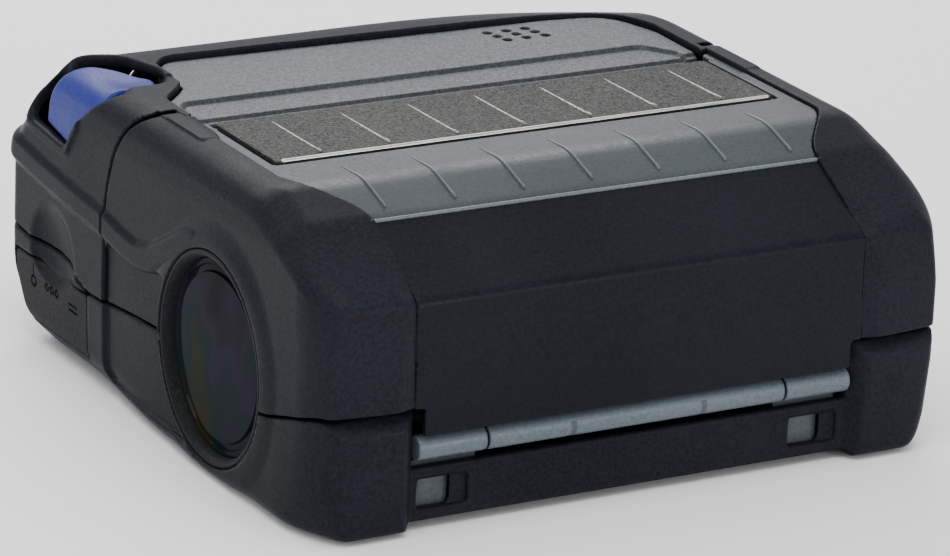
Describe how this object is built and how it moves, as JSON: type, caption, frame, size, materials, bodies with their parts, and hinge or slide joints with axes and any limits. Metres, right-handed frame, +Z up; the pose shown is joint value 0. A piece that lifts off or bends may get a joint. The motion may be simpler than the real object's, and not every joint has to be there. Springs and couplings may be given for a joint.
{
  "type": "label maker",
  "caption": "Portable wide-format label printer with a hinged cover, platen roller, thermal head, latch lever, label guides and battery pack.",
  "frame": {"origin": "centre of the footprint, on the surface the feet stand on", "axes": "+X along the cover hinge, +Y from the cover hinge towards the control panel, +Z up"},
  "size_m": [0.161, 0.1615, 0.071],
  "materials": {
    "case_black": "fine moulded grain, satin charcoal black",
    "panel_grey": "slate grey, fine grain",
    "top_grey": "slate grey with a fine metallic sparkle",
    "pewter": "pewter-toned brushed sheet with bright edges",
    "frame_grey": "plain grey glass-filled moulding",
    "lens": "very dark smoked window",
    "lever_blue": "royal blue, fine grain",
    "rubber_black": "soft matte black",
    "key_black": "soft-touch dark grey",
    "light_lens": "milky light pipe",
    "steel": "bright steel",
    "gear_white": "natural acetal",
    "brass": "turned brass",
    "board_green": "solder-resist green",
    "ceramic": "glazed ceramic strip",
    "guide_dark": "dark grey moulding"
  },
  "bodies": {
    "base": {"lower_case": "case_black", "rear_case": "case_black", "top_panel": "top_grey", "control_panel": "panel_grey", "status_light_left": "light_lens", "status_light_middle": "light_lens", "status_light_right": "light_lens", "chassis": "frame_grey", "window_lens_right": "lens", "window_lens_left": "lens", "feed_motor": "steel", "idler_stud": "steel", "print_head": "ceramic", "head_heatsink": "steel", "head_bracket": "steel", "head_spring_1": "steel", "head_spring_2": "steel", "latch_spring": "steel", "usb_port": "steel", "serial_port": "guide_dark", "power_jack": "guide_dark", "main_board": "board_green", "media_sensor": "guide_dark", "sounder": "case_black", "battery_contacts": "guide_dark", "rubber_foot_1": "rubber_black", "rubber_foot_2": "rubber_black", "rubber_foot_3": "rubber_black", "rubber_foot_4": "rubber_black", "case_screw_1": "steel", "case_screw_2": "steel", "case_screw_3": "steel", "case_screw_4": "steel"},
    "cover": {"cover_side_right": "case_black", "cover_side_left": "case_black", "cover_front_panel": "case_black", "cover_guide_panel": "panel_grey", "cover_frame": "frame_grey", "tear_bar": "pewter", "hinge_pin": "steel", "platen_bush_left": "gear_white", "platen_bush_right": "gear_white"},
    "platen": {"platen_roller": "rubber_black", "platen_shaft": "steel", "platen_gear": "gear_white"},
    "idler": {"idler_gear": "gear_white"},
    "pinion": {"motor_pinion": "brass"},
    "latch": {"latch_shaft": "steel", "latch_hook_right": "steel", "latch_hook_left": "steel"},
    "lever": {"release_lever": "lever_blue"},
    "guide_left": {"media_guide_left": "guide_dark"},
    "guide_right": {"media_guide_right": "guide_dark"},
    "guide_gear": {"guide_pinion": "gear_white"},
    "flap": {"connector_flap": "rubber_black"},
    "feed_key": {"feed_button": "key_black"},
    "power_key": {"power_button": "key_black"},
    "battery": {"battery_pack": "guide_dark"},
    "battery_catch": {"battery_latch": "panel_grey"}
  },
  "joints": [
    {"name": "cover_hinge", "type": "hinge", "parent": "base", "child": "cover", "pos_m": [0, -0.0766, 0.0194], "axis": [1, 0, 0], "range_deg": [0, 95]},
    {"name": "platen_spin", "type": "hinge", "parent": "cover", "child": "platen", "pos_m": [0, 0.0026, 0.0582], "axis": [1, 0, 0], "continuous": true},
    {"name": "idler_spin", "type": "hinge", "parent": "base", "child": "idler", "pos_m": [0.0655, 0.01159, 0.04261], "axis": [1, 0, 0], "continuous": true},
    {"name": "motor_spin", "type": "hinge", "parent": "base", "child": "pinion", "pos_m": [0.0655, 0.02559, 0.04261], "axis": [1, 0, 0], "continuous": true},
    {"name": "lever_slide", "type": "slide", "parent": "base", "child": "lever", "axis": [0, 1, 0], "range_m": [0, 0.005], "stiffness_N_per_m": 300},
    {"name": "latch_swing", "type": "hinge", "parent": "base", "child": "latch", "pos_m": [0, 0.016, 0.022], "axis": [1, 0, 0], "range_deg": [-7.9, 0]},
    {"name": "guide_left_slide", "type": "slide", "parent": "base", "child": "guide_left", "axis": [1, 0, 0], "range_m": [0, 0.032]},
    {"name": "guide_right_slide", "type": "slide", "parent": "base", "child": "guide_right", "axis": [-1, 0, 0], "range_m": [0, 0.032]},
    {"name": "guide_gear_spin", "type": "hinge", "parent": "base", "child": "guide_gear", "pos_m": [0, -0.029, 0.0052], "axis": [0, 0, 1], "range_deg": [-5, 370]},
    {"name": "flap_hinge", "type": "hinge", "parent": "base", "child": "flap", "pos_m": [-0.0792, 0.0535, 0.0056], "axis": [0, -1, 0], "range_deg": [0, 90]},
    {"name": "feed_press", "type": "slide", "parent": "base", "child": "feed_key", "axis": [0, -0.7071, -0.7071], "range_m": [0, 0.0008], "stiffness_N_per_m": 400},
    {"name": "power_press", "type": "slide", "parent": "base", "child": "power_key", "axis": [0, -0.7071, -0.7071], "range_m": [0, 0.0008], "stiffness_N_per_m": 400},
    {"name": "battery_slide", "type": "slide", "parent": "base", "child": "battery", "axis": [1, 0, 0], "range_m": [0, 0.096]},
    {"name": "battery_catch_slide", "type": "slide", "parent": "base", "child": "battery_catch", "axis": [0, 0, 1], "range_m": [0, 0.0025], "stiffness_N_per_m": 200}
  ],
  "couplings": [
    {"joint": "idler_spin", "follows": "platen_spin", "ratio": -0.8},
    {"joint": "motor_spin", "follows": "platen_spin", "ratio": 2},
    {"joint": "latch_swing", "follows": "lever_slide", "rad_per_m": -27.2},
    {"joint": "guide_right_slide", "follows": "guide_left_slide", "ratio": 1},
    {"joint": "guide_gear_spin", "follows": "guide_left_slide", "rad_per_m": 200}
  ]
}
